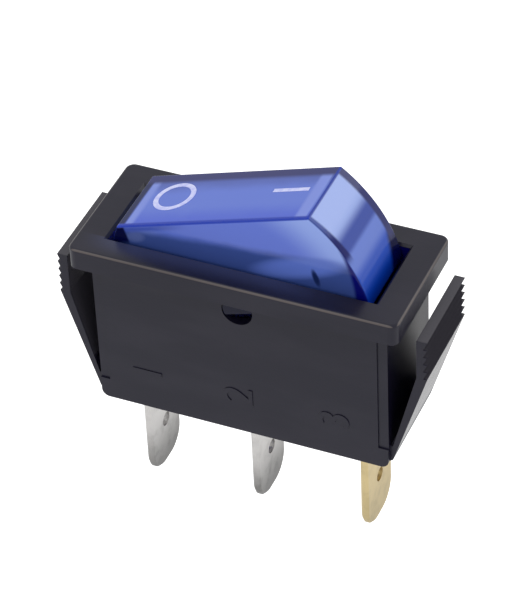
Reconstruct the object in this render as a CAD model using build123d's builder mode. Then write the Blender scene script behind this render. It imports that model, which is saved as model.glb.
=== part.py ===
from build123d import *

import os
from math import cos, pi, radians, sin, sqrt

# Illuminated rocker switch that snaps into a panel cut-out, in millimetres.
# X runs along the bezel, Y across it and Z up, out of the panel.
# The origin is the middle of the bezel's underside, which seats on the panel.
# The rocker rests in its off position, with its ring side, at -X, pressed.

# Bezel and body of the housing
bezel_length = 33.0
bezel_width = 14.1
bezel_thickness = 2.3
bezel_corner_radius = 0.9
bezel_edge_radius = 0.3
body_length = 29.8
body_width = 11.0
body_depth = 16.8
body_end_radius = 0.8
side_wall = 1.2
end_wall = 1.4
floor_thickness = 1.6
mouth_chamfer = 0.25
corner_rebate_width = 1.0
corner_rebate_depth = 0.15
corner_rebate_foot = 2.3

# Snap arms at the two ends of the body
arm_width = 10.1
arm_mouth = 2.7
arm_grip_thickness = 0.65
arm_top_drop = 0.55
arm_grip_height = 4.4
arm_foot_step = 0.3
arm_root_gap = 0.3
arm_root_height = 2.5
arm_root_radius = 0.12
tooth_count = 5
tooth_depth = 0.4

# Rocker cap, with heights counted from its pivot
pivot_drop = 1.85
rocker_tilt = 18.0
trunnion_radius = 1.5
trunnion_recess = 0.1
trunnion_flat_drop = 0.35
trunnion_lead_in = 0.9
hinge_clearance = 0.05
cheek_radius = 2.6
cap_side_gap = 0.12
cap_end_gap = 0.3
cap_ridge_inset = 3.0
cap_ridge_height = 9.2
cap_arc_foot = 0.2
cap_foot = 1.0
cap_top_wall = 1.1
cap_end_wall = 1.2
cap_side_wall = 0.9
cap_edge_radius = 0.22

# Marks let into the top of the cap
mark_depth = 0.15
mark_proud = 0.03
ring_inset = 4.25
ring_y = 0.35
ring_radius = 2.15
ring_stroke = 0.52
bar_inset = 3.7
bar_y = 0.6
bar_length = 3.75
bar_width = 0.5

# Lamp, resistor and leads inside the cap
lamp_radius = 2.1
lamp_glass = 0.3
lamp_dome_radius = 1.8
lamp_shoulder_radius = 0.7
lamp_height = 5.2
lamp_base_gap = 1.0
lamp_tip_gap = 1.26
pinch_length = 1.1
pinch_width = 3.2
pinch_thickness = 1.4
cradle_thickness = 0.7
cradle_height = 2.2
cradle_clearance = 0.05
cradle_spacing = 3.0
lead_radius = 0.2
lead_spacing = 1.6
lead_bend_radius = 0.3
electrode_radius = 0.35
electrode_start = 1.4
electrode_length = 3.0
drop_gap = 0.5
drop_height = 1.75
drop_end = 0.3
wire_hole_clearance = 0.05
bypass_y = -2.4
bypass_x = 1.7
sleeve_radius = 0.42
sleeve_length = 2.4
resistor_radius = 0.95
resistor_waist_radius = 0.75
resistor_cap_length = 1.1
resistor_edge_radius = 0.15
resistor_start_gap = 1.0
resistor_end_gap = 0.4
resistor_y = -1.0
hook_clearance = 0.1
hook_gap = 0.03
hook_overrun = 0.5

# Plunger, its barrel and its spring
plunger_radius = 1.15
plunger_clearance = 0.08
plunger_tip_radius = 1.0
plunger_guide = 2.4
plunger_spigot_radius = 0.6
plunger_spigot_length = 0.8
barrel_wall = 0.67
barrel_foot = 5.0
barrel_bore_top = 2.0
plunger_spring_radius = 0.93
plunger_spring_wire_radius = 0.14
plunger_spring_turns = 7

# Lamp spring and the post that it is hooked on
post_inset = 4.1
post_radius = 1.3
post_foot = 1.2
peg_radius = 0.55
peg_length = 1.6
lamp_spring_radius = 1.15
lamp_spring_wire_radius = 0.16
lamp_spring_turns = 11
lamp_spring_lift = 0.44
spring_seat_gap = 0.02
coil_closing_gap = 0.02
coil_steps = 12

# Terminals
tab_width = 6.3
tab_thickness = 0.8
tab_end_gap = 2.1
tab_reach = 11.8
tab_tip_radius = 2.5
tab_bevel = 0.22
tab_hole_radius = 0.75
tab_hole_height = 5.2
tab_slot_clearance = 0.05
bend_radius = 0.4
lamp_shelf_height = 3.7
lamp_shelf_margin = 0.3
dimple_radius = 0.6
dimple_height = 0.35
shoulder_width = 7.2
ear_gap = 0.15
ear_height = 1.6
ear_corner = 0.5

# Contacts and the see-saw that carries the moving one
fulcrum_height = 2.93
seesaw_swing = 14.0
wing_rise = 11.0
seesaw_thickness = 0.5
seesaw_width = 4.0
seesaw_clearance = 0.05
contact_inset = 2.9
contact_radius = 1.4
contact_thickness = 0.9
contact_edge = 0.2
bridge_bend_radius = 0.8
rivet_shank_radius = 0.8
rivet_head_radius = 1.1
rivet_head_height = 0.3
fixed_contact_radius = 1.5
fixed_contact_height = 0.8
contact_clearance = 0.05

# Ribs moulded on the floor of the housing
stop_rib_thickness = 1.2
barrier_thickness = 0.8
barrier_gap = 0.7
barrier_clearance = 0.1
barrier_height = 6.7
corner_stop_length = 2.6
corner_stop_clearance = 0.05
corner_stop_gap = 0.2

# Heights and widths that follow from the sizes above
well_length = body_length - 2 * end_wall
well_width = body_width - 2 * side_wall
floor_z = floor_thickness - body_depth
pivot_z = -pivot_drop
cap_half_width = well_width / 2 - cap_side_gap
cap_half_length = well_length / 2 - cap_end_gap
cavity_half_width = cap_half_width - cap_side_wall
cavity_top = cap_ridge_height - cap_top_wall
cap_arc_rise = cap_ridge_height - cap_arc_foot
cap_arc_radius = (cap_ridge_inset**2 + cap_arc_rise**2) / (2 * cap_ridge_inset)
cap_arc_x = cap_half_length - cap_arc_radius
cap_ridge_x = cap_half_length - cap_ridge_inset
ring_x = ring_inset - cap_ridge_x
bar_x = cap_ridge_x - bar_inset
post_x = cap_half_length - post_inset
trunnion_reach = body_width / 2 - trunnion_recess
barrel_bore_radius = plunger_radius + plunger_clearance
barrel_radius = barrel_bore_radius + barrel_wall
tab_pitch = well_length / 2 - tab_end_gap
contact_x = tab_pitch - contact_inset
seesaw_left = contact_x + contact_radius
tab_tip_z = -body_depth - tab_reach
tab_hole_z = tab_tip_z + tab_hole_height
fulcrum_z = floor_z + fulcrum_height
fulcrum_radius = tab_thickness / 2
half_swing = seesaw_swing / 2
closed_slope = wing_rise - half_swing
wing_offset = fulcrum_radius + seesaw_clearance
lead_y = lead_spacing / 2

# Planes that turn with the rocker and with the see-saw
tilt = radians(rocker_tilt)
rocker_x = Vector(cos(tilt), 0, sin(tilt))
rocker_up = Vector(-sin(tilt), 0, cos(tilt))
rocker_side = Plane(origin=(0, 0, pivot_z), x_dir=rocker_x, z_dir=(0, -1, 0))
rocker_deck = Plane(origin=(0, 0, pivot_z), x_dir=rocker_x, z_dir=rocker_up)
rocker_cross = Plane(origin=(0, 0, pivot_z), x_dir=(0, 1, 0), z_dir=rocker_x)
seesaw_lean = radians(half_swing)
seesaw_x = Vector(cos(seesaw_lean), 0, -sin(seesaw_lean))
seesaw_side = Plane(origin=(0, 0, fulcrum_z), x_dir=seesaw_x, z_dir=(0, -1, 0))
wing_lean = radians(wing_rise + half_swing)
wing_out = Vector(-cos(wing_lean), 0, sin(wing_lean))
wing_up = Vector(sin(wing_lean), 0, cos(wing_lean))
left_wing = Plane(origin=Vector(0, 0, fulcrum_z) + wing_up * wing_offset, x_dir=wing_out, z_dir=wing_up)


def wing_height(distance, offset, slope):
    """Return the height above the fulcrum of a wing's face, at a distance from it along X."""
    return (offset + sin(radians(slope)) * distance) / cos(radians(slope))


def plunger_reach(angle):
    """Return how far the plunger's tip centre is from the pivot while it rides on the see-saw."""
    slope = wing_rise - half_swing * angle / rocker_tilt
    rider_offset = wing_offset + seesaw_thickness + plunger_tip_radius
    lift = (pivot_z - fulcrum_z) * cos(radians(slope)) - rider_offset
    return lift / cos(radians(angle - slope))


# The lamp spring stands where the post passes at mid travel, with the barrier and the see-saw beside it
lamp_spring_x = post_x * cos(tilt)
lamp_shelf_z = floor_z + lamp_shelf_height
lamp_spring_height = pivot_z + post_x * sin(tilt) + lamp_spring_lift - lamp_shelf_z
lamp_shelf_end = lamp_spring_x - lamp_spring_radius - lamp_shelf_margin
barrier_x = lamp_shelf_end - barrier_clearance - barrier_thickness
seesaw_right = barrier_x - barrier_gap

# The plunger is drawn at the shortest reach of its swing, so that it clears the see-saw all the way
tip_reach = min(plunger_reach(angle) for angle in range(int(rocker_tilt) + 1))
tip_height = seesaw_clearance - tip_reach

# The fixed contact lies just under the moving one when the switch is on
meeting_x = contact_x - contact_radius
meeting_z = fulcrum_z + wing_height(meeting_x, wing_offset - contact_thickness, closed_slope)
supply_shelf_z = meeting_z - contact_clearance - fixed_contact_height
supply_shelf_end = contact_x - fixed_contact_radius
bend_end = tab_pitch - tab_thickness / 2 - bend_radius
stop_rib_x = seesaw_right - stop_rib_thickness
stop_rib_z = fulcrum_z + wing_height(stop_rib_x, wing_offset, closed_slope) - seesaw_clearance


def end_reach(height, wall):
    """Return the half length of the cap at a height, inside a wall of the given thickness."""
    return cap_arc_x + sqrt((cap_arc_radius - wall) ** 2 - (height - cap_arc_foot) ** 2)


# The lamp and the resistor fill the room between the barrel and what is beyond them
lamp_x = -barrel_radius - lamp_base_gap
lamp_length = end_reach(lamp_height, cap_end_wall) - lamp_tip_gap + lamp_x
cradle_x = lamp_x - lamp_length / 2
drop_x = -barrel_radius - drop_gap
hook_x = post_x - post_radius - lead_radius - hook_clearance
resistor_start = barrel_radius + resistor_start_gap
resistor_end = hook_x - resistor_end_gap
resistor_middle = (resistor_start + resistor_end) / 2

# The corner stops stand just under the foot of the cap when its end is pressed
foot_z = pivot_z - end_reach(-cap_foot, 0) * sin(tilt) - cap_foot * cos(tilt)
corner_stop_z = foot_z - corner_stop_clearance
corner_stop_width = (well_width - tab_width) / 2 - corner_stop_gap


def cap_outline(wall, top):
    """Draw the long side of the cap, inside a wall of the given thickness, up to a top height."""
    foot = end_reach(-cap_foot, wall)
    ridge = end_reach(top, wall)
    middle = cap_half_length - wall
    with BuildSketch() as outline:
        with BuildLine():
            ThreePointArc((foot, -cap_foot), (middle, cap_arc_foot), (ridge, top))
            Line((ridge, top), (-ridge, top))
            ThreePointArc((-ridge, top), (-middle, cap_arc_foot), (-foot, -cap_foot))
            Line((-foot, -cap_foot), (foot, -cap_foot))
        make_face()
    return outline.sketch


def arm_outline():
    """Draw the side of the snap arm at +X as a solid block behind its row of teeth."""
    valley_x = body_length / 2 + arm_mouth + arm_grip_thickness
    tooth_x = valley_x + tooth_depth
    pitch = arm_grip_height / tooth_count
    points = [(well_length / 2, -arm_top_drop)]
    for n in range(tooth_count):
        tooth_z = -arm_top_drop - n * pitch
        points.append((tooth_x, tooth_z))
        points.append((valley_x, tooth_z - pitch))
    points.append((tooth_x, -arm_top_drop - arm_grip_height))
    points.append((body_length / 2 + arm_foot_step, -body_depth + body_end_radius))
    points.append((body_length / 2 - body_end_radius, -body_depth))
    points.append((well_length / 2, -body_depth))
    with BuildSketch() as outline:
        with BuildLine():
            Polyline(points, close=True)
        make_face()
    return outline.sketch


def notch_outline():
    """Draw the side of the gap between the body and the snap arm at +X."""
    mouth_x = body_length / 2 + arm_mouth
    root_z = -body_depth + arm_root_height
    with BuildSketch() as outline:
        with BuildLine():
            Polyline(
                (body_length / 2, 0),
                (body_length / 2, root_z),
                (body_length / 2 + arm_root_gap, root_z),
                (mouth_x, -arm_top_drop - arm_grip_height),
                (mouth_x, 0),
                close=True,
            )
        make_face()
        fillet(vertices().group_by(Axis.Y)[0], arm_root_radius)
    return outline.sketch


# Housing: bezel, body, snap arms and inner ribs in one moulding
with BuildPart() as housing:
    with BuildSketch():
        RectangleRounded(bezel_length, bezel_width, bezel_corner_radius)
    extrude(amount=bezel_thickness)
    fillet(faces().sort_by(Axis.Z)[-1].edges(), bezel_edge_radius)

    with BuildSketch():
        Rectangle(body_length, body_width)
    extrude(amount=-body_depth)
    fillet(edges().filter_by(Axis.Y).group_by(Axis.Z)[0], body_end_radius)

    with BuildSketch(Plane.XZ):
        add(arm_outline())
        mirror(about=Plane.YZ)
    extrude(amount=arm_width / 2, both=True)
    with BuildSketch(Plane.XZ):
        add(notch_outline())
        mirror(about=Plane.YZ)
    extrude(amount=arm_width / 2, both=True, mode=Mode.SUBTRACT)

    with BuildSketch(Plane.XY.offset(bezel_thickness)):
        Rectangle(well_length, well_width)
    extrude(amount=floor_z - bezel_thickness, mode=Mode.SUBTRACT)
    chamfer(faces().sort_by(Axis.Z)[-1].inner_wires().edges(), mouth_chamfer)

    # Shallow rebates down the four corners of the long walls
    rebate_height = body_depth - corner_rebate_foot
    for y_side in (-1, 1):
        with BuildSketch(Plane.XZ.offset(-y_side * body_width / 2)):
            with Locations((0, -rebate_height / 2)):
                with GridLocations(body_length - corner_rebate_width, 0, 2, 1):
                    Rectangle(corner_rebate_width, rebate_height)
        extrude(amount=y_side * corner_rebate_depth, mode=Mode.SUBTRACT)

    # Bearings for the trunnions, through both long walls
    with BuildSketch(Plane.XZ):
        with Locations((0, pivot_z)):
            Circle(trunnion_radius + hinge_clearance)
    extrude(amount=body_width, both=True, mode=Mode.SUBTRACT)

    # Blocks under the bent shelves, the see-saw's stop and the barrier beside the lamp terminal
    for start_x, end_x, top_z in (
        (-bend_end, -supply_shelf_end, supply_shelf_z - tab_thickness),
        (barrier_x, bend_end, lamp_shelf_z - tab_thickness),
        (stop_rib_x, seesaw_right, stop_rib_z),
        (barrier_x, barrier_x + barrier_thickness, floor_z + barrier_height),
    ):
        with BuildSketch(Plane.XY.offset(floor_z)):
            with Locations(((start_x + end_x) / 2, 0)):
                Rectangle(end_x - start_x, well_width)
        extrude(amount=top_z - floor_z)

    # Stops for the pressed end of the cap, in the four corners of the well
    with BuildSketch(Plane.XY.offset(floor_z)):
        with GridLocations(well_length - corner_stop_length, well_width - corner_stop_width, 2, 2):
            Rectangle(corner_stop_length, corner_stop_width)
    extrude(amount=corner_stop_z - floor_z)

    # Slots that the three tabs are pushed through
    with BuildSketch(Plane.XY.offset(-body_depth)):
        with GridLocations(tab_pitch, 0, 3, 1):
            Rectangle(tab_thickness + 2 * tab_slot_clearance, tab_width + 2 * tab_slot_clearance)
    extrude(amount=floor_thickness, mode=Mode.SUBTRACT)
housing.part.label = "housing"


def finish_tab(tab_x):
    """Round and bevel the free end of the tab at a place along X and pierce its latch hole."""
    fillet(edges().filter_by(Axis.X).group_by(Axis.Z)[0], tab_tip_radius)
    tip_rim = edges().filter_by_position(Axis.Z, tab_tip_z, tab_tip_z + tab_tip_radius)
    chamfer(tip_rim.filter_by(Axis.X, reverse=True), tab_bevel)
    with Locations(Location((tab_x, 0, tab_hole_z), (0, 90, 0))):
        Cylinder(tab_hole_radius, 2 * tab_thickness, mode=Mode.SUBTRACT)


def bent_tab(side, shelf_z, shelf_end):
    """Fold a tab on one side of the switch inwards into a shelf with a top at a height."""
    middle_z = shelf_z - tab_thickness / 2
    with BuildPart() as tab:
        with BuildSketch(Plane.XZ):
            with BuildLine():
                FilletPolyline(
                    (side * tab_pitch, tab_tip_z),
                    (side * tab_pitch, middle_z),
                    (side * shelf_end, middle_z),
                    radius=bend_radius + tab_thickness / 2,
                )
            trace(line_width=tab_thickness)
        extrude(amount=tab_width / 2, both=True)
        finish_tab(side * tab_pitch)
    return tab.part


# Supply terminal at -X, with its shelf pierced for the fixed contact
with BuildPart() as terminal_supply:
    add(bent_tab(-1, supply_shelf_z, supply_shelf_end))
    with BuildSketch(Plane.XY.offset(supply_shelf_z)):
        with Locations((-contact_x, 0)):
            Circle(rivet_shank_radius)
    extrude(amount=-tab_thickness, mode=Mode.SUBTRACT)
terminal_supply.part.label = "terminal_supply"

# Fixed contact riveted flush into the supply terminal
with BuildPart() as fixed_contact:
    with BuildSketch(Plane.XY.offset(supply_shelf_z)):
        with Locations((-contact_x, 0)):
            Circle(fixed_contact_radius)
    extrude(amount=fixed_contact_height)
    fillet(edges().filter_by(GeomType.CIRCLE).sort_by(Axis.Z)[-1], contact_edge)
    with BuildSketch(Plane.XY.offset(supply_shelf_z)):
        with Locations((-contact_x, 0)):
            Circle(rivet_shank_radius)
    extrude(amount=-tab_thickness)
fixed_contact.part.label = "fixed_contact"

# Load terminal in the middle, with a rounded top edge that the see-saw rocks on, between two ears
with BuildPart() as terminal_load:
    ear_inner = seesaw_width / 2 + ear_gap
    ear_width = shoulder_width / 2 - ear_inner
    with BuildSketch(Plane.YZ):
        with Locations((0, (tab_tip_z + floor_z) / 2)):
            Rectangle(tab_width, floor_z - tab_tip_z)
        with Locations((0, floor_z + fulcrum_height / 2)):
            Rectangle(shoulder_width, fulcrum_height)
        with Locations((0, fulcrum_z + ear_height / 2)):
            with GridLocations(2 * ear_inner + ear_width, 0, 2, 1):
                Rectangle(ear_width, ear_height)
    extrude(amount=tab_thickness / 2, both=True)
    chamfer(edges().filter_by(Axis.X).group_by(Axis.Z)[-1], ear_corner / 2)
    finish_tab(0)
    with BuildSketch(Plane.XZ):
        with Locations((0, fulcrum_z)):
            Circle(fulcrum_radius)
    extrude(amount=ear_inner, both=True)
terminal_load.part.label = "terminal_load"

# Lamp terminal at +X, with a boss on its shelf that centres the lamp spring
with BuildPart() as terminal_lamp:
    add(bent_tab(1, lamp_shelf_z, lamp_shelf_end))
    with BuildSketch(Plane.XY.offset(lamp_shelf_z)):
        with Locations((lamp_spring_x, 0)):
            Circle(dimple_radius)
    extrude(amount=dimple_height)
terminal_lamp.part.label = "terminal_lamp"

# See-saw strip, bent up into two wings over the fulcrum
with BuildPart() as contact_bridge:
    strip_offset = wing_offset + seesaw_thickness / 2
    rise = radians(wing_rise)
    drift = strip_offset * sin(rise)
    lift = strip_offset * cos(rise)
    with BuildSketch(seesaw_side):
        with BuildLine():
            FilletPolyline(
                (drift - seesaw_left * cos(rise), seesaw_left * sin(rise) + lift),
                (0, strip_offset / cos(rise)),
                (seesaw_right * cos(rise) - drift, seesaw_right * sin(rise) + lift),
                radius=bridge_bend_radius,
            )
        trace(line_width=seesaw_thickness)
    extrude(amount=seesaw_width / 2, both=True)
    with BuildSketch(left_wing):
        with Locations((contact_x, 0)):
            Circle(rivet_shank_radius)
    extrude(amount=seesaw_thickness, mode=Mode.SUBTRACT)
contact_bridge.part.label = "contact_bridge"

# Moving contact riveted through the left wing
with BuildPart() as moving_contact:
    with BuildSketch(left_wing):
        with Locations((contact_x, 0)):
            Circle(contact_radius)
    extrude(amount=-contact_thickness)
    lowest_rim = edges().filter_by(GeomType.CIRCLE).sort_by(Axis(left_wing.origin, wing_up))[0]
    fillet(lowest_rim, contact_edge)
    with BuildSketch(left_wing):
        with Locations((contact_x, 0)):
            Circle(rivet_shank_radius)
    extrude(amount=seesaw_thickness)
    with BuildSketch(left_wing.offset(seesaw_thickness)):
        with Locations((contact_x, 0)):
            Circle(rivet_head_radius)
    extrude(amount=rivet_head_height)
    chamfer(edges().filter_by(GeomType.CIRCLE).sort_by(Axis(left_wing.origin, wing_up))[-1], contact_edge)
moving_contact.part.label = "moving_contact"

# Rocker cap: hollow translucent moulding with trunnions, barrel, lamp cradles and spring post
with BuildPart() as rocker_cap:
    with BuildSketch(rocker_side):
        add(cap_outline(0, cap_ridge_height))
    extrude(amount=cap_half_width, both=True)
    foot_edges = edges().group_by(Axis((0, 0, pivot_z), rocker_up))[0]
    fillet(edges() - foot_edges, cap_edge_radius)
    with BuildSketch(rocker_side):
        add(cap_outline(cap_end_wall, cavity_top))
    extrude(amount=cavity_half_width, both=True, mode=Mode.SUBTRACT)

    for side in (-1, 1):
        with BuildSketch(rocker_side.offset(side * cavity_half_width)):
            Circle(cheek_radius)
        extrude(amount=side * cap_side_wall)
        with BuildSketch(rocker_side.offset(side * cap_half_width)):
            Circle(trunnion_radius)
        extrude(amount=side * (trunnion_reach - cap_half_width))
    with BuildSketch(rocker_cross):
        with BuildLine():
            Polyline(
                (trunnion_reach, -trunnion_flat_drop),
                (trunnion_reach, -trunnion_radius),
                (trunnion_reach - trunnion_lead_in, -trunnion_radius),
                close=True,
            )
        make_face()
        mirror(about=Plane.YZ)
    extrude(amount=trunnion_radius, both=True, mode=Mode.SUBTRACT)

    with BuildSketch(rocker_deck.offset(cavity_top)):
        Circle(barrel_radius)
    extrude(amount=-cavity_top - barrel_foot)
    with BuildSketch(rocker_deck.offset(-barrel_foot)):
        Circle(barrel_bore_radius)
    extrude(amount=barrel_foot + barrel_bore_top, mode=Mode.SUBTRACT)
    with BuildSketch(rocker_cross.offset(-barrel_radius)):
        with Locations((lead_y, drop_height)):
            Circle(lead_radius + wire_hole_clearance)
    extrude(amount=barrel_radius, mode=Mode.SUBTRACT)

    with BuildSketch(rocker_deck.offset(cavity_top)):
        with Locations((post_x, 0)):
            Circle(post_radius)
    extrude(amount=post_foot - cavity_top)
    with BuildSketch(rocker_deck.offset(post_foot)):
        with Locations((post_x, 0)):
            Circle(peg_radius)
    extrude(amount=-peg_length)

    for cradle in (-1, 1):
        cradle_place = cradle_x + cradle * cradle_spacing / 2
        with BuildSketch(rocker_cross.offset(cradle_place)):
            with Locations((0, lamp_height)):
                Rectangle(2 * cavity_half_width, cradle_height)
                Circle(lamp_radius + cradle_clearance, mode=Mode.SUBTRACT)
        extrude(amount=cradle_thickness / 2, both=True)

    with BuildSketch(rocker_deck.offset(cap_ridge_height)):
        with Locations((ring_x, ring_y)):
            Circle(ring_radius)
            Circle(ring_radius - ring_stroke, mode=Mode.SUBTRACT)
        with Locations((bar_x, bar_y)):
            Rectangle(bar_length, bar_width)
    extrude(amount=-mark_depth, mode=Mode.SUBTRACT)
rocker_cap.part.label = "rocker_cap"

# Ring mark of the off side, let into the cap
with BuildPart() as ring_mark:
    with BuildSketch(rocker_deck.offset(cap_ridge_height - mark_depth)):
        with Locations((ring_x, ring_y)):
            Circle(ring_radius)
            Circle(ring_radius - ring_stroke, mode=Mode.SUBTRACT)
    extrude(amount=mark_depth + mark_proud)
ring_mark.part.label = "ring_mark"

# Bar mark of the on side, let into the cap
with BuildPart() as bar_mark:
    with BuildSketch(rocker_deck.offset(cap_ridge_height - mark_depth)):
        with Locations((bar_x, bar_y)):
            Rectangle(bar_length, bar_width)
    extrude(amount=mark_depth + mark_proud)
bar_mark.part.label = "bar_mark"


def coil(seat, radius, wire_radius, turns, height):
    """Wind a closed-end compression spring up from a seat plane to a height over it."""
    closed_pitch = 2 * wire_radius + coil_closing_gap
    climb = height - 2 * wire_radius
    open_pitch = (climb - 2 * closed_pitch) / (turns - 2)
    points = []
    for n in range(turns * coil_steps + 1):
        turn = n / coil_steps
        if turn < 1:
            rise_here = closed_pitch * turn
        elif turn > turns - 1:
            rise_here = climb - closed_pitch * (turns - turn)
        else:
            rise_here = closed_pitch + open_pitch * (turn - 1)
        angle = 2 * pi * turn
        points.append((radius * cos(angle), radius * sin(angle), wire_radius + rise_here))
    with BuildPart() as spring:
        with BuildLine(seat) as centreline:
            Spline(*points)
        with BuildSketch(Plane(origin=centreline.line @ 0, z_dir=centreline.line % 0)):
            Circle(wire_radius)
        sweep(is_frenet=True)
    return spring.part


# Plunger, round-nosed, sliding in the barrel
with BuildPart() as plunger:
    guide_top = plunger_guide - barrel_foot
    with BuildSketch(rocker_deck.offset(guide_top)):
        Circle(plunger_radius)
    extrude(amount=tip_height - guide_top)
    nose_rim = edges().filter_by(GeomType.CIRCLE).sort_by(Axis((0, 0, pivot_z), rocker_up))[0]
    chamfer(nose_rim, plunger_radius - plunger_tip_radius)
    with Locations(rocker_deck.offset(tip_height)):
        Sphere(plunger_tip_radius)
    with BuildSketch(rocker_deck.offset(guide_top)):
        Circle(plunger_spigot_radius)
    extrude(amount=plunger_spigot_length)
plunger.part.label = "plunger"

# Plunger spring, between the plunger's shoulder and the lead across the top of the bore
with BuildPart() as plunger_spring:
    spring_foot = guide_top + spring_seat_gap
    spring_top = drop_height - lead_radius - spring_seat_gap
    add(
        coil(
            rocker_deck.offset(spring_foot),
            plunger_spring_radius,
            plunger_spring_wire_radius,
            plunger_spring_turns,
            spring_top - spring_foot,
        )
    )
plunger_spring.part.label = "plunger_spring"

# Lamp spring, standing on the lamp terminal and carrying current up to the rocker
with BuildPart() as lamp_spring:
    add(
        coil(
            Plane(origin=(lamp_spring_x, 0, lamp_shelf_z + spring_seat_gap)),
            lamp_spring_radius,
            lamp_spring_wire_radius,
            lamp_spring_turns,
            lamp_spring_height,
        )
    )
lamp_spring.part.label = "lamp_spring"

# Neon lamp's glass envelope, pinched flat around its two leads
with BuildPart() as lamp_envelope:
    lamp_base = rocker_cross.offset(lamp_x).origin + rocker_up * lamp_height
    lamp_section = Plane(origin=lamp_base, x_dir=rocker_x * -1, z_dir=(0, 1, 0))
    lamp_axis = Axis(lamp_base, rocker_x)
    with BuildSketch(lamp_section):
        with Locations((pinch_length, 0)):
            Rectangle(lamp_length - pinch_length, lamp_radius, align=(Align.MIN, Align.MIN))
        fillet(vertices().group_by(Axis.Y)[-1].sort_by(Axis.X)[-1], lamp_dome_radius)
        fillet(vertices().group_by(Axis.Y)[-1].sort_by(Axis.X)[0], lamp_shoulder_radius)
    revolve(axis=lamp_axis)
    with BuildSketch(Plane(origin=lamp_base, x_dir=(0, 1, 0), z_dir=rocker_x * -1)):
        Rectangle(pinch_width, pinch_thickness)
    extrude(amount=electrode_start)
    with BuildSketch(lamp_section):
        with Locations((electrode_start, 0)):
            Rectangle(
                lamp_length - lamp_glass - electrode_start,
                lamp_radius - lamp_glass,
                align=(Align.MIN, Align.MIN),
            )
        fillet(vertices().group_by(Axis.Y)[-1].sort_by(Axis.X)[-1], lamp_dome_radius - lamp_glass)
        fillet(vertices().group_by(Axis.Y)[-1].sort_by(Axis.X)[0], lamp_shoulder_radius - lamp_glass)
    revolve(axis=lamp_axis, mode=Mode.SUBTRACT)
    with BuildSketch(rocker_cross.offset(lamp_x - electrode_start)):
        with Locations((-lead_y, lamp_height), (lead_y, lamp_height)):
            Circle(lead_radius)
    extrude(amount=electrode_start, mode=Mode.SUBTRACT)
lamp_envelope.part.label = "lamp_envelope"


def electrode(place_y):
    """Stand one rod electrode in the lamp, on the end of a lead at a place across it."""
    with BuildPart() as rod:
        with BuildSketch(rocker_cross.offset(lamp_x - electrode_start)):
            with Locations((place_y, lamp_height)):
                Circle(electrode_radius)
        extrude(amount=-electrode_length)
    return rod.part


with BuildPart() as lamp_electrode_front:
    add(electrode(-lead_y))
lamp_electrode_front.part.label = "lamp_electrode_front"

with BuildPart() as lamp_electrode_back:
    add(electrode(lead_y))
lamp_electrode_back.part.label = "lamp_electrode_back"


def wire(lead_plane, points):
    """Bend a round lead along points drawn on a plane."""
    with BuildPart() as lead:
        with BuildLine(lead_plane) as route:
            FilletPolyline(*points, radius=lead_bend_radius)
        with BuildSketch(Plane(origin=route.line @ 0, z_dir=route.line % 0)):
            Circle(lead_radius)
        sweep()
    return lead.part


# Lead from the back electrode down and into the barrel, over the plunger spring
with BuildPart() as lamp_lead_back:
    back_route = [
        (lamp_x - electrode_start, lamp_height),
        (drop_x, lamp_height),
        (drop_x, drop_height),
        (drop_end, drop_height),
    ]
    add(wire(rocker_side.offset(-lead_y), back_route))
lamp_lead_back.part.label = "lamp_lead_back"

# Lead from the front electrode past the barrel to the resistor
with BuildPart() as lamp_lead_front:
    front_route = [
        (lamp_x - electrode_start, -lead_y),
        (drop_x, -lead_y),
        (-bypass_x, bypass_y),
        (bypass_x, bypass_y),
        (-drop_x, resistor_y),
        (resistor_start, resistor_y),
    ]
    add(wire(rocker_deck.offset(lamp_height), front_route))
lamp_lead_front.part.label = "lamp_lead_front"

# Insulating sleeve on the front lead, where it passes the barrel
with BuildPart() as lead_sleeve:
    with BuildSketch(rocker_cross):
        with Locations((bypass_y, lamp_height)):
            Circle(sleeve_radius)
            Circle(lead_radius, mode=Mode.SUBTRACT)
    extrude(amount=sleeve_length / 2, both=True)
lead_sleeve.part.label = "lead_sleeve"

# Resistor with two thicker end caps
with BuildPart() as resistor:
    with BuildSketch(rocker_cross.offset(resistor_middle)):
        with Locations((resistor_y, lamp_height)):
            Circle(resistor_waist_radius)
    extrude(amount=(resistor_end - resistor_start) / 2, both=True)
    for end_x, inwards in ((resistor_start, 1), (resistor_end, -1)):
        with BuildSketch(rocker_cross.offset(end_x)):
            with Locations((resistor_y, lamp_height)):
                Circle(resistor_radius)
        extrude(amount=inwards * resistor_cap_length)
    fillet(edges().filter_by(GeomType.CIRCLE).group_by(SortBy.RADIUS)[-1], resistor_edge_radius)
resistor.part.label = "resistor"

# Resistor's other lead, bent down and in under the spring post
with BuildPart() as resistor_lead:
    hook_height = post_foot - lead_radius - hook_gap
    hook_route = [
        (resistor_end, lamp_height),
        (hook_x, lamp_height),
        (hook_x, hook_height),
        (post_x + hook_overrun, hook_height),
    ]
    add(wire(rocker_side.offset(-resistor_y), hook_route))
resistor_lead.part.label = "resistor_lead"

os.makedirs("parts", exist_ok=True)
for piece in (
    housing,
    terminal_supply,
    terminal_load,
    terminal_lamp,
    fixed_contact,
    contact_bridge,
    moving_contact,
    rocker_cap,
    ring_mark,
    bar_mark,
    plunger,
    plunger_spring,
    lamp_spring,
    lamp_envelope,
    lamp_electrode_front,
    lamp_electrode_back,
    lamp_lead_back,
    lamp_lead_front,
    lead_sleeve,
    resistor,
    resistor_lead,
):
    export_step(piece.part, f"parts/{piece.part.label}.step")
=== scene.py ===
import logging
import math
from dataclasses import dataclass
from enum import Enum

import bmesh
import bpy
from mathutils import Matrix, Vector


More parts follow.
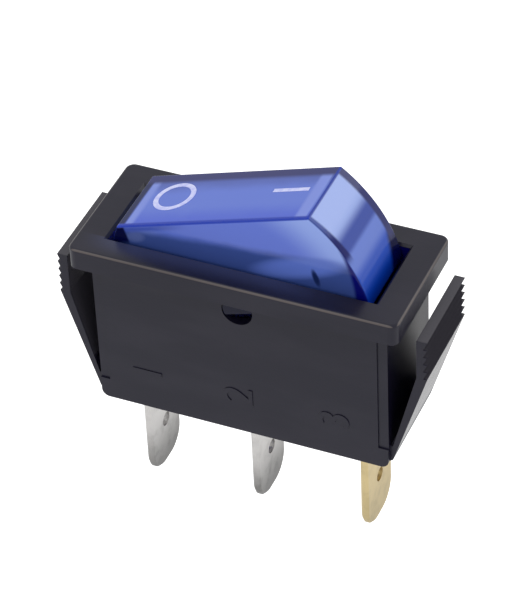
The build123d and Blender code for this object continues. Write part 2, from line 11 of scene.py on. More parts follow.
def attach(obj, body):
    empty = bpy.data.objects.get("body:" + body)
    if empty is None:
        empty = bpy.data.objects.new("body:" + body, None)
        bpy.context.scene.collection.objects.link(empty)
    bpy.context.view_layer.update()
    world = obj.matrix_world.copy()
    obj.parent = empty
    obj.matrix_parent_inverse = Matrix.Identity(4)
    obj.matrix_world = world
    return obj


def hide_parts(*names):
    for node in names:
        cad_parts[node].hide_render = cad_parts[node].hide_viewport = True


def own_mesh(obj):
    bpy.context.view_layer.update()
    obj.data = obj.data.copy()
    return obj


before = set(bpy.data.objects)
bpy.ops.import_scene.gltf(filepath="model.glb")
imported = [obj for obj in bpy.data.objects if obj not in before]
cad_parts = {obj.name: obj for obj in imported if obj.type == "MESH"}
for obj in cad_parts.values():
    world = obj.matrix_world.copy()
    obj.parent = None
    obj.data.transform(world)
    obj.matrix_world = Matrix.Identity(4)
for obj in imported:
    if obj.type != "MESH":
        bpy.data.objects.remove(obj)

# An illuminated rocker switch in its off position, seen from above its front right.
# Metres, in the row frame: X along the bezel, Y across it, Z up out of the panel.

LOG = logging.getLogger("rocker_switch")
MM = 0.001

Colour = tuple[float, float, float]
Place = tuple[float, float, float]
Span = tuple[float, float]
Socket = bpy.types.NodeSocket

# A pattern with no stretch along any axis.
EVEN: Place = (1.0, 1.0, 1.0)

# A Mix node's colour sockets, which share their names with its other kinds.
MIX_COLOURS = (6, 7)
MIX_RESULT = 2


def span(start: float, stop: float) -> Span:
    """Give the places where a change starts and where it is full.

    Args:
        start: Where it starts, in millimetres.
        stop: Where it is full, in millimetres.

    Returns:
        The two places in metres.
    """
    return start * MM, stop * MM


def turn_span(start: float, stop: float) -> Span:
    """Give the angles where a change starts and where it is full.

    Args:
        start: Where it starts, in degrees.
        stop: Where it is full, in degrees.

    Returns:
        The two angles in radians.
    """
    return math.radians(start), math.radians(stop)


def colour(red: int, green: int, blue: int) -> Colour:
    """Turn a colour of a picture into the linear values that a shader takes.

    Args:
        red: Red from 0 to 255.
        green: Green from 0 to 255.
        blue: Blue from 0 to 255.

    Returns:
        The same colour in linear light.
    """

    def linear(value: int) -> float:
        """Undo the picture's own curve."""
        part = value / 255
        return part / 12.92 if part <= 0.04045 else ((part + 0.055) / 1.055) ** 2.4

    return linear(red), linear(green), linear(blue)


class Shader:
    """A material's node tree, with short ways to add nodes to it."""

    def __init__(self, name: str) -> None:
        """Start a material with a Principled shader.

        Args:
            name: The material's name.
        """
        self.material = bpy.data.materials.new(name)
        self.material.use_nodes = True
        self.nodes = self.material.node_tree.nodes
        self.links = self.material.node_tree.links
        self.surface = self.nodes["Principled BSDF"]

    def set(self, **values: float | Colour) -> None:
        """Set the surface's own sockets, with underscores for the spaces in their names.

        Args:
            **values: A number or a colour for each socket.
        """
        for name, value in values.items():
            socket = self.surface.inputs[name.replace("_", " ")]
            socket.default_value = (*value, 1.0) if isinstance(value, tuple) else value

    def place(self, centre: Place = (0.0, 0.0, 0.0), turn: float = 0.0, stretch: Place = EVEN) -> Socket:
        """Read Object coordinates, centred on a point and turned about Y.

        Args:
            centre: The point that becomes the pattern's origin.
            turn: The turn about Y, in radians.
            stretch: The pattern's scale along each axis.

        Returns:
            The vector output.
        """
        coordinates = self.nodes.new("ShaderNodeTexCoord")
        mapping = self.nodes.new("ShaderNodeMapping")
        mapping.vector_type = "TEXTURE"
        mapping.inputs["Location"].default_value = centre
        mapping.inputs["Rotation"].default_value = (0, turn, 0)
        mapping.inputs["Scale"].default_value = stretch
        self.links.new(coordinates.outputs["Object"], mapping.inputs["Vector"])
        return mapping.outputs["Vector"]

    def noise(self, vector: Socket, scale: float, detail: float = 2.0) -> Socket:
        """Add a noise pattern.

        Args:
            vector: Where the pattern is read.
            scale: Its scale, per metre.
            detail: How many finer layers it has.

        Returns:
            The pattern's value output.
        """
        pattern = self.nodes.new("ShaderNodeTexNoise")
        pattern.inputs["Scale"].default_value = scale
        pattern.inputs["Detail"].default_value = detail
        self.links.new(vector, pattern.inputs["Vector"])
        return pattern.outputs["Fac"]

    def split(self, vector: Socket) -> bpy.types.NodeOutputs:
        """Split a vector into its X, Y and Z.

        Args:
            vector: The vector.

        Returns:
            The three outputs.
        """
        parts = self.nodes.new("ShaderNodeSeparateXYZ")
        self.links.new(vector, parts.inputs[0])
        return parts.outputs

    def maths(self, operation: str, *terms: Socket | float) -> Socket:
        """Work out a value from one to three terms.

        Args:
            operation: The Math node's operation.
            *terms: Sockets or numbers.

        Returns:
            The value output.
        """
        node = self.nodes.new("ShaderNodeMath")
        node.operation = operation
        for entry, term in zip(node.inputs, terms):
            if isinstance(term, (int, float)):
                entry.default_value = term
            else:
                self.links.new(term, entry)
        return node.outputs[0]

    def band(self, value: Socket, change: Span) -> Socket:
        """Rise smoothly from 0 at one value to 1 at another.

        Args:
            value: The value that is read.
            change: Where the result is 0 and where it is 1.

        Returns:
            The value output.
        """
        node = self.nodes.new("ShaderNodeMapRange")
        node.interpolation_type = "SMOOTHSTEP"
        start, stop = change
        node.inputs["From Min"].default_value = start
        node.inputs["From Max"].default_value = stop
        self.links.new(value, node.inputs["Value"])
        return node.outputs["Result"]

    def both(self, *shares: Socket) -> Socket:
        """Multiply two or more shares, which shows only what lies in all of them.

        Args:
            *shares: The shares, from 0 to 1.

        Returns:
            The value output.
        """
        product, *others = shares
        for share in others:
            product = self.maths("MULTIPLY", product, share)
        return product

    def scaled(self, value: Socket, low: float, high: float) -> Socket:
        """Spread a value between two others.

        Args:
            value: The value, from 0 to 1.
            low: The result at 0.
            high: The result at 1.

        Returns:
            The value output.
        """
        return self.maths("MULTIPLY_ADD", value, high - low, low)

    def around(self, value: Socket, middle: float, spread: Span) -> Socket:
        """Spread a value from a little under another to a little over it.

        Args:
            value: The value, from 0 to 1.
            middle: What the result lies about.
            spread: What is added to the middle at 0 and at 1.

        Returns:
            The value output.
        """
        return self.scaled(value, middle + spread[0], middle + spread[1])

    def blend(self, share: Socket, first: Colour | Socket, second: Colour | Socket) -> Socket:
        """Mix two colours.

        Args:
            share: How much of the second shows, from 0 to 1.
            first: A colour or a colour socket.
            second: A colour or a colour socket.

        Returns:
            The colour output.
        """
        node = self.nodes.new("ShaderNodeMix")
        node.data_type = "RGBA"
        self.links.new(share, node.inputs["Factor"])
        for entry, tint in zip(MIX_COLOURS, (first, second)):
            if isinstance(tint, tuple):
                node.inputs[entry].default_value = (*tint, 1.0)
            else:
                self.links.new(tint, node.inputs[entry])
        return node.outputs[MIX_RESULT]

    def feed(self, name: str, value: Socket) -> None:
        """Link a value to one of the surface's sockets.

        Args:
            name: The socket's name.
            value: The value that it takes.
        """
        self.links.new(value, self.surface.inputs[name])

    def bump(self, height: Socket, strength: float, distance: float) -> None:
        """Roughen the surface with a height pattern.

        Args:
            height: The pattern.
            strength: How strongly it shows.
            distance: Its depth in metres.
        """
        node = self.nodes.new("ShaderNodeBump")
        node.inputs["Strength"].default_value = strength
        node.inputs["Distance"].default_value = distance
        self.links.new(height, node.inputs["Height"])
        self.links.new(node.outputs["Normal"], self.surface.inputs["Normal"])


def dress(node: str, material: bpy.types.Material) -> None:
    """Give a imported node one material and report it.

    Args:
        node: The node's name.
        material: The finish.
    """
    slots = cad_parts[node].data.materials
    slots.clear()
    slots.append(material)
    LOG.info("%s dressed in %s", node, material.name)


class Metal(Enum):
    """The bare and plated metals of the switch, as colour and roughness."""

    SILVER_PLATE = (colour(224, 222, 220), 0.34)
    BRASS = (colour(228, 208, 158), 0.34)
    CONTACT_SILVER = (colour(215, 214, 208), 0.28)
    SPRING_STEEL = (colour(150, 150, 152), 0.3)
    NICKEL = (colour(140, 138, 132), 0.45)
    TINNED_COPPER = (colour(185, 184, 180), 0.4)


@dataclass(frozen=True)
class MetalFinish:
    """Rolled or drawn metal with fine streaks, patchy tarnish, and darker towards the tabs' tips."""

    metal: Metal
    streak_stretch: Place = (1.0, 1.0, 0.08)
    streak_scale: float = 9000.0
    streak_bump: tuple[float, float] = (0.12, 0.02 * MM)
    tarnish_scale: float = 700.0
    tarnish_detail: float = 4.0
    tarnish_at: Span = (0.42, 0.75)
    tarnish_share: float = 0.2
    tarnish_and_tip_tone: float = 0.3
    tip_darkening: float = 0.8
    tip_z: Span = span(-20.5, -28.6)
    roughness_spread: Span = (-0.07, 0.1)

    def material(self) -> bpy.types.Material:
        """Build the metal's material.

        Returns:
            The material.
        """
        tint, roughness = self.metal.value
        shader = Shader(self.metal.name.lower())
        shader.set(Metallic=1.0)
        place = shader.place()
        streaks = shader.noise(shader.place(stretch=self.streak_stretch), self.streak_scale)
        tarnish = shader.noise(place, self.tarnish_scale, self.tarnish_detail)
        tip = shader.maths("MULTIPLY", shader.band(shader.split(place)["Z"], self.tip_z), self.tip_darkening)
        share = shader.maths("MULTIPLY_ADD", shader.band(tarnish, self.tarnish_at), self.tarnish_share, tip)
        dull = tuple(part * self.tarnish_and_tip_tone for part in tint)
        shader.feed("Base Color", shader.blend(share, tint, dull))
        shader.feed("Roughness", shader.around(streaks, roughness, self.roughness_spread))
        shader.bump(streaks, *self.streak_bump)
        return shader.material


@dataclass(frozen=True)
class NylonFinish:
    """Satin black nylon with a fine grain, with a painted highlight on the rim, painted sheen on the teeth
    and painted blue light from the cap on the bezel's top and in the well.
    """

    body: Colour = colour(13, 11, 33)
    worn: Colour = colour(26, 24, 41)
    rim_highlight: Colour = colour(98, 90, 88)
    teeth_sheen: Colour = colour(66, 64, 72)
    lit: Colour = colour(54, 60, 96)
    well_blue_light: Colour = colour(6, 6, 110)
    ior: float = 1.5
    specular: float = 0.41
    roughness: float = 0.3
    roughness_spread: Span = (-0.06, 0.12)
    roughness_shares: tuple[float, float] = (0.6, 0.4)
    polish: float = -0.14
    grain_scale: float = 5200.0
    grain_bump: tuple[float, float] = (0.16, 0.04 * MM)
    flow_scale: float = 260.0
    flow_stretch: Place = (3.0, 1.0, 1.0)
    flow_at: Span = (0.35, 0.72)
    detail: float = 3.0
    rim_shares: Span = (0.5, 1.1)
    rim_x: Span = span(16.3, 16.4)
    rim_y: Span = span(6.85, 6.95)
    rim_z: Span = span(2.05, 2.15)
    teeth_x: Span = span(15.6, 15.7)
    teeth_y: Span = span(5.0, 4.9)
    teeth_z: Span = span(0.0, -0.1)
    lit_y: Span = span(-6.987, -4.35)
    lit_edge: Span = span(-4.25, -4.35)
    lit_left: Span = span(-16.3, -10.84)
    lit_right: Span = span(13.55, 0.0)
    well_x: Span = span(13.65, 13.55)
    well_y: Span = span(4.45, 4.35)
    well_z: Span = span(2.05, 1.95)

    def material(self) -> bpy.types.Material:
        """Build the nylon's material.

        Returns:
            The material.
        """
        shader = Shader("black_nylon")
        shader.set(IOR=self.ior, Specular_IOR_Level=self.specular)
        place = shader.place()
        along, across, height = (shader.split(place)[axis] for axis in "XYZ")
        reach, breadth = shader.maths("ABSOLUTE", along), shader.maths("ABSOLUTE", across)
        grain = shader.noise(place, self.grain_scale, self.detail)
        flow = shader.noise(shader.place(stretch=self.flow_stretch), self.flow_scale, self.detail)
        paint = shader.blend(shader.band(flow, self.flow_at), self.body, self.worn)

        # Painted highlight along the bezel's top outer edge.
        outer = shader.maths("MAXIMUM", shader.band(reach, self.rim_x), shader.band(breadth, self.rim_y))
        rim_highlight = shader.both(outer, shader.band(height, self.rim_z), shader.scaled(flow, *self.rim_shares))
        paint = shader.blend(rim_highlight, paint, self.rim_highlight)

        # Painted sheen on the arms' toothed and lower outer faces; the same share also makes them glossier.
        teeth_sheen = shader.both(
            shader.band(reach, self.teeth_x),
            shader.band(breadth, self.teeth_y),
            shader.band(height, self.teeth_z),
        )
        paint = shader.blend(teeth_sheen, paint, self.teeth_sheen)

        lit = shader.both(
            shader.band(across, self.lit_y),
            shader.band(across, self.lit_edge),
            shader.band(along, self.lit_right),
            shader.band(along, self.lit_left),
            shader.band(height, self.rim_z),
        )
        paint = shader.blend(lit, paint, self.lit)

        # Painted blue light from the cap on the well's inner walls.
        well_blue_light = shader.both(
            shader.band(reach, self.well_x),
            shader.band(breadth, self.well_y),
            shader.band(height, self.well_z),
        )
        shader.feed("Base Color", shader.blend(well_blue_light, paint, self.well_blue_light))
        flow_share, grain_share = self.roughness_shares
        mixed = shader.maths("MULTIPLY_ADD", flow, flow_share, shader.maths("MULTIPLY", grain, grain_share))
        roughness = shader.around(mixed, self.roughness, self.roughness_spread)
        shader.feed("Roughness", shader.maths("MULTIPLY_ADD", teeth_sheen, self.polish, roughness))
        shader.bump(grain, *self.grain_bump)
        return shader.material


# Painted shades of blue that more than one face of the cap shows.
RIDGE_SHADE = colour(44, 66, 164)
FAR_WALL_SHADE = colour(50, 54, 112)
CORNER_SHADE = colour(2, 6, 62)


@dataclass(frozen=True)
class CapPlace:
    """Where a point of the cap lies, as sockets, and a soft noise that is read there."""

    along: Socket
    across: Socket
    height: Socket
    angle: Socket
    radius: Socket
    clouds: Socket


@dataclass(frozen=True)
class Patch:
    """A soft oval patch of painted light on the cap's sides, or of painted shade where its tint is dark,
    placed along the cap and by its height over the pivot.
    """

    middle: tuple[float, float]
    half: tuple[float, float]
    tint: Colour


@dataclass(frozen=True)
class CapDeck:
    """The cap's flat top in painted light and shade: paler over the end walls, darker towards the far wall.
    """

    middle: Colour = colour(102, 126, 218)
    near: Colour = colour(83, 106, 214)
    far: Colour = colour(85, 103, 184)
    light: Colour = colour(128, 147, 228)
    left: Colour = colour(18, 32, 84)
    far_wall: Colour = FAR_WALL_SHADE
    ridge: Colour = RIDGE_SHADE
    edge: Colour = colour(30, 60, 178)
    waves: float = 0.9 * MM
    near_y: Span = span(-3.2, -0.6)
    far_y: Span = span(1.0, 3.2)
    right_in: Span = span(8.5, 9.0)
    right_out: Span = span(10.0, 9.8)
    left_in: Span = span(-8.3, -8.95)
    left_out: Span = span(-9.55, -9.3)
    left_x: Span = span(-9.3, -9.65)
    far_wall_y: Span = span(2.4, 3.15)
    ridge_x: Span = span(10.0, 10.16)
    edge_y: Span = span(-3.55, -3.85)

    def paint(self, shader: Shader, place: CapPlace) -> Socket:
        """Paint light and shade on the flat top.

        Args:
            shader: The cap's shader.
            place: Where the point lies.

        Returns:
            The top's colour.
        """
        along, across = place.along, place.across
        wavy = shader.maths("MULTIPLY_ADD", place.clouds, self.waves, across)
        deck = shader.blend(shader.band(wavy, self.near_y), self.near, self.middle)
        deck = shader.blend(shader.band(wavy, self.far_y), deck, self.far)
        right = shader.both(shader.band(along, self.right_in), shader.band(along, self.right_out))
        left = shader.both(shader.band(along, self.left_in), shader.band(along, self.left_out))
        deck = shader.blend(shader.maths("MAXIMUM", right, left), deck, self.light)
        deck = shader.blend(shader.band(along, self.left_x), deck, self.left)
        deck = shader.blend(shader.band(across, self.far_wall_y), deck, self.far_wall)
        deck = shader.blend(shader.band(along, self.ridge_x), deck, self.ridge)
        return shader.blend(shader.band(across, self.edge_y), deck, self.edge)


@dataclass(frozen=True)
class CapSide:
    """The cap's long sides in painted light and shade: pale above a slanting line, dark below it and pale
    again by the arc.
    """

    high: Colour = colour(101, 124, 222)
    rim_highlight: Colour = colour(152, 176, 246)
    low: Colour = colour(58, 80, 150)
    lip: Colour = colour(74, 96, 192)
    foot: Colour = colour(4, 8, 110)
    corner: Colour = CORNER_SHADE
    # Two patches of painted light, and one of painted shade where a part inside shows through the cap.
    patches: tuple[Patch, ...] = (
        Patch((7.4 * MM, 3.8 * MM), (6.0 * MM, 1.5 * MM), colour(96, 122, 212)),
        Patch((-8.6 * MM, 8.0 * MM), (1.3 * MM, 0.8 * MM), colour(88, 106, 172)),
        Patch((8.75 * MM, 2.6 * MM), (0.4 * MM, 1.2 * MM), colour(18, 36, 88)),
    )
    patch_edge: Span = (1.0, 0.1)
    rim_radius: Span = span(10.5, 14.6)
    slope: float = 0.24
    waves: float = 0.5 * MM
    low_height: Span = span(7.6, 6.4)
    lip_height: Span = span(8.3, 8.8)
    lip_x: Span = span(-2.0, -6.0)
    foot_lean: float = -3.2 * MM
    foot_radius: Span = span(13.6, 14.1)
    foot_angle: Span = turn_span(30.0, 20.0)
    corner_x: Span = span(-9.3, -9.6)
    corner_height: Span = span(6.9, 7.7)

    def paint(self, shader: Shader, place: CapPlace) -> Socket:
        """Paint light and shade on the long sides.

        Args:
            shader: The cap's shader.
            place: Where the point lies.

        Returns:
            The sides' colour.
        """
        along, height = place.along, place.height
        high = shader.blend(shader.band(place.radius, self.rim_radius), self.high, self.rim_highlight)
        slant = shader.maths("MULTIPLY_ADD", along, self.slope, height)
        slant = shader.maths("MULTIPLY_ADD", place.clouds, self.waves, slant)
        side = shader.blend(shader.band(slant, self.low_height), high, self.low)
        for patch in self.patches:
            share = shader.band(self.spread(shader, place, patch), self.patch_edge)
            side = shader.blend(share, side, patch.tint)
        lip = shader.both(shader.band(height, self.lip_height), shader.band(along, self.lip_x))
        side = shader.blend(lip, side, self.lip)
        leaning = shader.maths("MULTIPLY_ADD", place.angle, self.foot_lean, place.radius)
        low_enough = shader.band(place.angle, self.foot_angle)
        foot = shader.both(shader.band(leaning, self.foot_radius), low_enough)
        side = shader.blend(foot, side, self.foot)
        corner = shader.both(shader.band(along, self.corner_x), shader.band(height, self.corner_height))
        return shader.blend(corner, side, self.corner)

    @staticmethod
    def spread(shader: Shader, place: CapPlace, patch: Patch) -> Socket:
        """Measure how far a point is from a patch's middle, as a share of the patch squared.

        Args:
            shader: The cap's shader.
            place: Where the point lies.
            patch: The patch.

        Returns:
            0 at the patch's middle and 1 on its outline.
        """
        off = shader.maths("DIVIDE", shader.maths("SUBTRACT", place.along, patch.middle[0]), patch.half[0])
        up = shader.maths("DIVIDE", shader.maths("SUBTRACT", place.height, patch.middle[1]), patch.half[1])
        return shader.maths("MULTIPLY_ADD", off, off, shader.maths("MULTIPLY", up, up))


@dataclass(frozen=True)
class CapEnd:
    """The cap's round ends: bands of painted light and shade that run across them, between two walls in
    painted shade.
    """

    pale: Colour = colour(166, 186, 246)
    ridge: Colour = RIDGE_SHADE
    shade: Colour = CORNER_SHADE
    far_wall: Colour = FAR_WALL_SHADE
    near_high: Colour = colour(54, 76, 158)
    near_wall: Colour = colour(6, 16, 102)
    bands: tuple[tuple[Span, Colour], ...] = (
        (turn_span(26.0, 21.0), colour(66, 86, 172)),
        (turn_span(18.0, 15.5), colour(114, 138, 222)),
        (turn_span(12.0, 7.0), colour(38, 84, 200)),
        (turn_span(5.0, -2.0), colour(6, 52, 158)),
    )
    ridge_angle: Span = turn_span(35.8, 36.6)
    shade_lean: float = 6.0 * MM
    shade_start: float = 1.6 * MM
    shade_y: Span = span(0.0, 1.0)
    shade_angle: Span = turn_span(11.0, 6.0)
    far_angle: Span = turn_span(7.0, 3.0)
    far_y: Span = span(2.9, 3.3)
    near_angle: Span = turn_span(33.0, 23.0)
    near_lean: float = 1.1 * MM
    near_y: Span = span(-2.75, -3.1)
    near_fade: Span = turn_span(13.0, 18.0)

    def paint(self, shader: Shader, place: CapPlace) -> Socket:
        """Paint light and shade on the round ends.

        Args:
            shader: The cap's shader.
            place: Where the point lies.

        Returns:
            The ends' colour.
        """
        across, angle = place.across, place.angle
        end = shader.blend(shader.band(angle, self.ridge_angle), self.pale, self.ridge)
        for turns, tint in self.bands:
            end = shader.blend(shader.band(angle, turns), end, tint)
        start = shader.maths("MULTIPLY_ADD", angle, self.shade_lean, self.shade_start)
        off = shader.maths("SUBTRACT", across, start)
        shade = shader.both(shader.band(off, self.shade_y), shader.band(angle, self.shade_angle))
        end = shader.blend(shade, end, self.shade)
        far = shader.blend(shader.band(angle, self.far_angle), self.far_wall, self.shade)
        end = shader.blend(shader.band(across, self.far_y), end, far)
        near = shader.blend(shader.band(angle, self.near_angle), self.near_high, self.near_wall)
        leaning = shader.maths("MULTIPLY_ADD", angle, self.near_lean, across)
        on_near = shader.both(shader.band(leaning, self.near_y), shader.band(angle, self.near_fade))
        return shader.blend(on_near, end, near)


@dataclass(frozen=True)
class CapFinish:
    """Blue translucent cap, its colour painted with the light and shade that its walls, its inside and its
    thick edges show through it.
    """

    pivot: Place
    tilt: float
    deck: CapDeck = CapDeck()
    side: CapSide = CapSide()
    end: CapEnd = CapEnd()
    pin_shade: Colour = colour(6, 8, 40)
    ior: float = 1.52
    specular: float = 0.25
    transmission: float = 0.06
    arc_x: float = -1.8 * MM
    arc_height: float = 0.2 * MM
    side_y: Span = span(4.04, 4.16)
    deck_z: Span = span(9.0, 9.14)
    pin_y: Span = span(4.2, 4.24)
    cloud_scale: float = 420.0
    cloud_detail: float = 3.0
    cloud_bump: tuple[float, float] = (0.05, 0.1 * MM)
    polish_scale: float = 2600.0
    roughness: Span = (0.08, 0.14)

    def material(self) -> bpy.types.Material:
        """Build the cap's material.

        Returns:
            The material.
        """
        shader = Shader("blue_polycarbonate")
        shader.set(IOR=self.ior, Specular_IOR_Level=self.specular, Transmission_Weight=self.transmission)
        local = shader.place(self.pivot, self.tilt)
        along, across, height = (shader.split(local)[axis] for axis in "XYZ")
        run = shader.maths("SUBTRACT", shader.maths("ABSOLUTE", along), self.arc_x)
        rise = shader.maths("SUBTRACT", height, self.arc_height)
        squares = shader.maths("MULTIPLY_ADD", run, run, shader.maths("MULTIPLY", rise, rise))
        place = CapPlace(
            along,
            across,
            height,
            angle=shader.maths("ARCTAN2", rise, run),
            radius=shader.maths("SQRT", squares),
            clouds=shader.noise(local, self.cloud_scale, self.cloud_detail),
        )
        breadth = shader.maths("ABSOLUTE", across)
        on_side = shader.band(breadth, self.side_y)
        paint = shader.blend(on_side, self.end.paint(shader, place), self.side.paint(shader, place))
        paint = shader.blend(shader.band(height, self.deck_z), paint, self.deck.paint(shader, place))
        # Painted shade on the ends of the trunnion pins.
        paint = shader.blend(shader.band(breadth, self.pin_y), paint, self.pin_shade)
        shader.feed("Base Color", paint)
        shader.feed("Roughness", shader.scaled(shader.noise(local, self.polish_scale), *self.roughness))
        shader.bump(place.clouds, *self.cloud_bump)
        return shader.material


@dataclass(frozen=True)
class PlainFinish:
    """A small plain piece, mottled a little between two tones."""

    name: str
    light: Colour
    dark: Colour
    roughness: float = 0.45
    roughness_spread: Span = (-0.05, 0.08)
    mottle_scale: float = 1800.0
    mottle_detail: float = 3.0
    mottle_at: Span = (0.35, 0.7)
    mottle_bump: tuple[float, float] = (0.08, 0.03 * MM)

    def material(self) -> bpy.types.Material:
        """Build the piece's material.

        Returns:
            The material.
        """
        shader = Shader(self.name)
        mottle = shader.noise(shader.place(), self.mottle_scale, self.mottle_detail)
        shader.feed("Base Color", shader.blend(shader.band(mottle, self.mottle_at), self.light, self.dark))
        shader.feed("Roughness", shader.around(mottle, self.roughness, self.roughness_spread))
        shader.bump(mottle, *self.mottle_bump)
        return shader.material


@dataclass(frozen=True)
class LampGlassFinish:
    """Clear lamp glass, with faint drawn ripples."""

    tint: Colour = (0.93, 0.96, 0.97)
    ior: float = 1.47
    ripple_scale: float = 900.0
    ripple_bump: tuple[float, float] = (0.04, 0.05 * MM)
    roughness: Span = (0.0, 0.05)

    def material(self) -> bpy.types.Material:
        """Build the glass's material.

        Returns:
            The material.
        """
        shader = Shader("lamp_glass")
        shader.set(Base_Color=self.tint, IOR=self.ior, Transmission_Weight=1.0)
        ripples = shader.noise(shader.place(), self.ripple_scale)
        shader.feed("Roughness", shader.scaled(ripples, *self.roughness))
        shader.bump(ripples, *self.ripple_bump)
        return shader.material


@dataclass
class Housing:
    """The black moulding, with a raised numeral beside each terminal."""

    wall_y: float = -5.5 * MM
    numeral_z: float = -12.3 * MM
    numeral_places: tuple[float, ...] = (-9.6 * MM, -0.15 * MM, 9.65 * MM)
    numeral_size: float = 4.4 * MM
    numeral_relief: float = 0.08 * MM
    sink: float = 0.02 * MM
    finish: NylonFinish = NylonFinish()

    def build(self) -> None:
        """Dress the moulding and raise its numerals."""
        black = self.finish.material()
        dress("housing", black)
        for number, place in enumerate(self.numeral_places, start=1):
            self.numeral(number, place, black)

    def numeral(self, number: int, place: float, material: bpy.types.Material) -> None:
        """Raise one numeral, lying on its side, on the front wall.

        Args:
            number: The terminal's number.
            place: Its place along the wall.
            material: The moulding's finish.
        """
        letter = bpy.data.curves.new(f"numeral_{number}", "FONT")
        letter.body = str(number)
        letter.size = self.numeral_size
        letter.extrude = (self.numeral_relief + self.sink) / 2
        letter.align_x = "CENTER"
        letter.align_y = "CENTER"
        flat = bpy.data.objects.new("flat_numeral", letter)
        bpy.context.scene.collection.objects.link(flat)
        bpy.context.view_layer.update()
        mesh = bpy.data.meshes.new_from_object(flat.evaluated_get(bpy.context.evaluated_depsgraph_get()))
        bpy.data.objects.remove(flat)
        quarter = math.radians(90)
        onto_wall = Matrix.Rotation(quarter, 4, "X") @ Matrix.Rotation(quarter, 4, "Z")
        depth = self.wall_y - (self.numeral_relief - self.sink) / 2
        mesh.transform(Matrix.Translation((place, depth, self.numeral_z)) @ onto_wall)
        mesh.materials.clear()
        mesh.materials.append(material)
        piece = bpy.data.objects.new(f"numeral_{number}", mesh)
        bpy.context.scene.collection.objects.link(piece)
        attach(piece, "housing")
        LOG.info("numeral %d raised on the front wall", number)


@dataclass
class Terminals:
    """The three tabs, the see-saw on the middle one and the two contacts."""

    silver_tip_darkening: float = 1.0
    brass_tip_darkening: float = 0.3
    along_bridge: Place = (0.08, 1.0, 1.0)

    def build(self) -> None:
        """Dress the tabs, the see-saw and its two contacts."""
        silver = MetalFinish(Metal.SILVER_PLATE, tip_darkening=self.silver_tip_darkening).material()
        dress("terminal_supply", silver)
        dress("terminal_load", silver)
        brass = MetalFinish(Metal.BRASS, tip_darkening=self.brass_tip_darkening)
        dress("terminal_lamp", brass.material())
        contact = MetalFinish(Metal.CONTACT_SILVER).material()
        dress("fixed_contact", contact)
        dress("moving_contact", contact)
        bridge = MetalFinish(Metal.BRASS, streak_stretch=self.along_bridge)
        dress("contact_bridge", bridge.material())


@dataclass(frozen=True)
class Spring:
    """A coil spring that a joint squeezes from one fixed end."""

    node: str
    body: str
    joint: str
    axis: Place
    anchor: Place
    keep: float
    weld: float = 0.001 * MM

    def build(self, material: bpy.types.Material) -> None:
        """Put a copy of the spring in its node's place.

        Args:
            material: Its finish.
        """
        shape = bmesh.new()
        shape.from_mesh(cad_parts[self.node].data)
        bmesh.ops.remove_doubles(shape, verts=shape.verts, dist=self.weld)
        for face in shape.faces:
            face.smooth = True
        mesh = bpy.data.meshes.new(f"{self.node}_wire")
        shape.to_mesh(mesh)
        shape.free()
        mesh.materials.clear()
        mesh.materials.append(material)
        piece = bpy.data.objects.new(f"{self.node}_wire", mesh)
        bpy.context.scene.collection.objects.link(piece)
        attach(piece, self.body)
        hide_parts(self.node)
        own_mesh(piece)
        LOG.info("%s squeezes with %s", self.node, self.joint)


@dataclass
class Rocker:
    """The translucent cap with its two marks, its plunger and its springs."""

    pivot: Place = (0.0, 0.0, -1.85 * MM)
    tilt: float = math.radians(-18.0)
    white: tuple[Colour, Colour] = (colour(214, 218, 255), colour(188, 194, 250))
    white_roughness: float = 0.3
    natural: tuple[Colour, Colour] = (colour(226, 222, 206), colour(206, 200, 182))
    springs: tuple[Spring, ...] = (
        Spring(
            "lamp_spring",
            body="housing",
            joint="rocker_pivot",
            axis=(0, 0, 1),
            anchor=(8.655 * MM, 0.0, -11.48 * MM),
            keep=0.565,
        ),
        Spring(
            "plunger_spring",
            body="rocker",
            joint="plunger_slide",
            axis=(0.30901699, 0.0, -0.95105652),
            anchor=(-0.47 * MM, 0.0, -0.4 * MM),
            keep=0.9,
        ),
    )

    def build(self) -> None:
        """Dress the cap, its marks and the plunger, and put both springs in place."""
        dress("rocker_cap", CapFinish(self.pivot, self.tilt).material())
        white = PlainFinish("white_mark", *self.white, roughness=self.white_roughness).material()
        dress("ring_mark", white)
        dress("bar_mark", white)
        dress("plunger", PlainFinish("natural_nylon", *self.natural).material())
        steel = MetalFinish(Metal.SPRING_STEEL, streak_stretch=EVEN).material()
        for spring in self.springs:
            spring.build(steel)


@dataclass
class LampGroup:
    """The neon lamp, its resistor and their leads, inside the cap."""

    sleeve: tuple[Colour, Colour] = (colour(228, 226, 214), colour(206, 204, 190))
    enamel: tuple[Colour, Colour] = (colour(206, 182, 134), colour(186, 160, 112))

    def build(self) -> None:
        """Dress the lamp, its electrodes, leads, sleeve and resistor."""
        dress("lamp_envelope", LampGlassFinish().material())
        nickel = MetalFinish(Metal.NICKEL, streak_stretch=EVEN).material()
        tinned = MetalFinish(Metal.TINNED_COPPER, streak_stretch=EVEN).material()
        for node in ("lamp_electrode_front", "lamp_electrode_back"):
            dress(node, nickel)
        for node in ("lamp_lead_front", "lamp_lead_back", "resistor_lead"):
            dress(node, tinned)
        dress("lead_sleeve", PlainFinish("sleeve", *self.sleeve).material())
        dress("resistor", PlainFinish("resistor_enamel", *self.enamel).material())


@dataclass(frozen=True)
class Softbox:
    """A square softbox that faces the switch, hung in a direction seen from it."""

    name: str
    direction: Place
    distance: float
    size: float
    radiance: float

    def build(self) -> None:
        """Hang the softbox."""
        light = bpy.data.lights.new(self.name, "AREA")
        light.size = self.size
        light.energy = self.radiance * math.pi * self.size * self.size
        lamp = bpy.data.objects.new(self.name, light)
        away = Vector(self.direction).normalized()
        facing = away.to_track_quat("Z", "Y").to_matrix().to_4x4()
        lamp.matrix_world = Matrix.Translation(away * self.distance) @ facing
        bpy.context.scene.collection.objects.link(lamp)


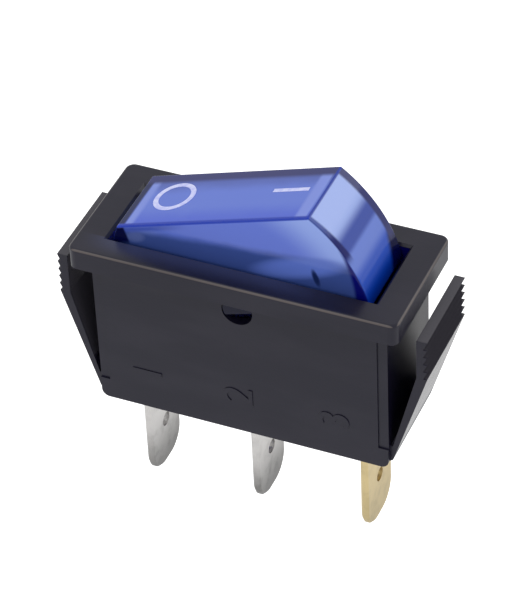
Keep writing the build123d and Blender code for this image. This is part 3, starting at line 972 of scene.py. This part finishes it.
@dataclass
class Studio:
    """The photograph's camera, a white tent of light and a floor far below the switch."""

    target: Place = (0.345 * MM, 0.266 * MM, -4.877 * MM)
    azimuth: float = math.radians(24.611)
    elevation: float = math.radians(39.993)
    roll: float = -0.04722
    distance: float = 296.27 * MM
    focal_pixels: float = 3133.0
    image_height: float = 600.0
    sensor: float = 36.0
    nearest: float = 0.01
    farthest: float = 10.0
    floor_z: float = -70.0 * MM
    floor_size: float = 3.0
    paper: Colour = (0.9, 0.9, 0.9)
    paper_roughness: float = 0.9
    paper_glow: float = 0.6
    tent_strength: float = 0.82
    softboxes: tuple[Softbox, ...] = (
        Softbox("softbox_back_right", (0.497, 0.696, 0.519), distance=0.7, size=0.34, radiance=1.4),
        Softbox("softbox_top_left", (-0.45, -0.35, 0.82), distance=0.8, size=0.5, radiance=0.9),
    )

    def build(self) -> None:
        """Set the camera, the lights and the floor."""
        self.camera()
        self.tent()
        self.floor()
        for softbox in self.softboxes:
            softbox.build()
        bpy.context.scene.view_settings.view_transform = "Standard"

    def camera(self) -> None:
        """Stand the camera where the photograph was taken from."""
        back = Vector(
            (
                math.sin(self.azimuth) * math.cos(self.elevation),
                -math.cos(self.azimuth) * math.cos(self.elevation),
                math.sin(self.elevation),
            )
        )
        lens = bpy.data.cameras.new("camera")
        lens.sensor_width = self.sensor
        lens.lens = self.focal_pixels / self.image_height * self.sensor
        lens.clip_start = self.nearest
        lens.clip_end = self.farthest
        camera = bpy.data.objects.new("camera", lens)
        level = back.to_track_quat("Z", "Y").to_matrix()
        turned = level @ Matrix.Rotation(self.roll, 3, "Z")
        stand = Vector(self.target) + back * self.distance
        camera.matrix_world = Matrix.Translation(stand) @ turned.to_4x4()
        bpy.context.scene.collection.objects.link(camera)
        bpy.context.scene.camera = camera

    def tent(self) -> None:
        """Light the switch evenly from all round, with a pure white behind it."""
        world = bpy.data.worlds.new("tent")
        world.use_nodes = True
        nodes, links = world.node_tree.nodes, world.node_tree.links
        background = nodes["Background"]
        background.inputs["Color"].default_value = (1, 1, 1, 1)
        rays = nodes.new("ShaderNodeLightPath")
        share = nodes.new("ShaderNodeMapRange")
        share.inputs["To Min"].default_value = self.tent_strength
        share.inputs["To Max"].default_value = 1.0
        links.new(rays.outputs["Is Camera Ray"], share.inputs["Value"])
        links.new(share.outputs["Result"], background.inputs["Strength"])
        bpy.context.scene.world = world

    def floor(self) -> None:
        """Lay a white floor that keeps a faint shadow."""
        shape = bmesh.new()
        bmesh.ops.create_grid(shape, x_segments=1, y_segments=1, size=self.floor_size / 2)
        bmesh.ops.translate(shape, verts=shape.verts, vec=(0, 0, self.floor_z))
        mesh = bpy.data.meshes.new("floor")
        shape.to_mesh(mesh)
        shape.free()
        floor = bpy.data.objects.new("floor", mesh)
        bpy.context.scene.collection.objects.link(floor)
        shader = Shader("floor_paper")
        shader.set(Base_Color=self.paper, Roughness=self.paper_roughness, Emission_Color=(1.0, 1.0, 1.0))
        rays = shader.nodes.new("ShaderNodeLightPath")
        glow = shader.maths("MULTIPLY", rays.outputs["Is Camera Ray"], self.paper_glow)
        shader.feed("Emission Strength", glow)
        mesh.materials.append(shader.material)


def main() -> None:
    """Build the switch and its studio."""
    logging.basicConfig(level=logging.INFO, format="%(name)s: %(message)s")
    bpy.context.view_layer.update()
    for assembly in (Housing(), Terminals(), Rocker(), LampGroup(), Studio()):
        assembly.build()
        LOG.info("%s done", type(assembly).__name__)


if __name__ == "__main__":
    main()
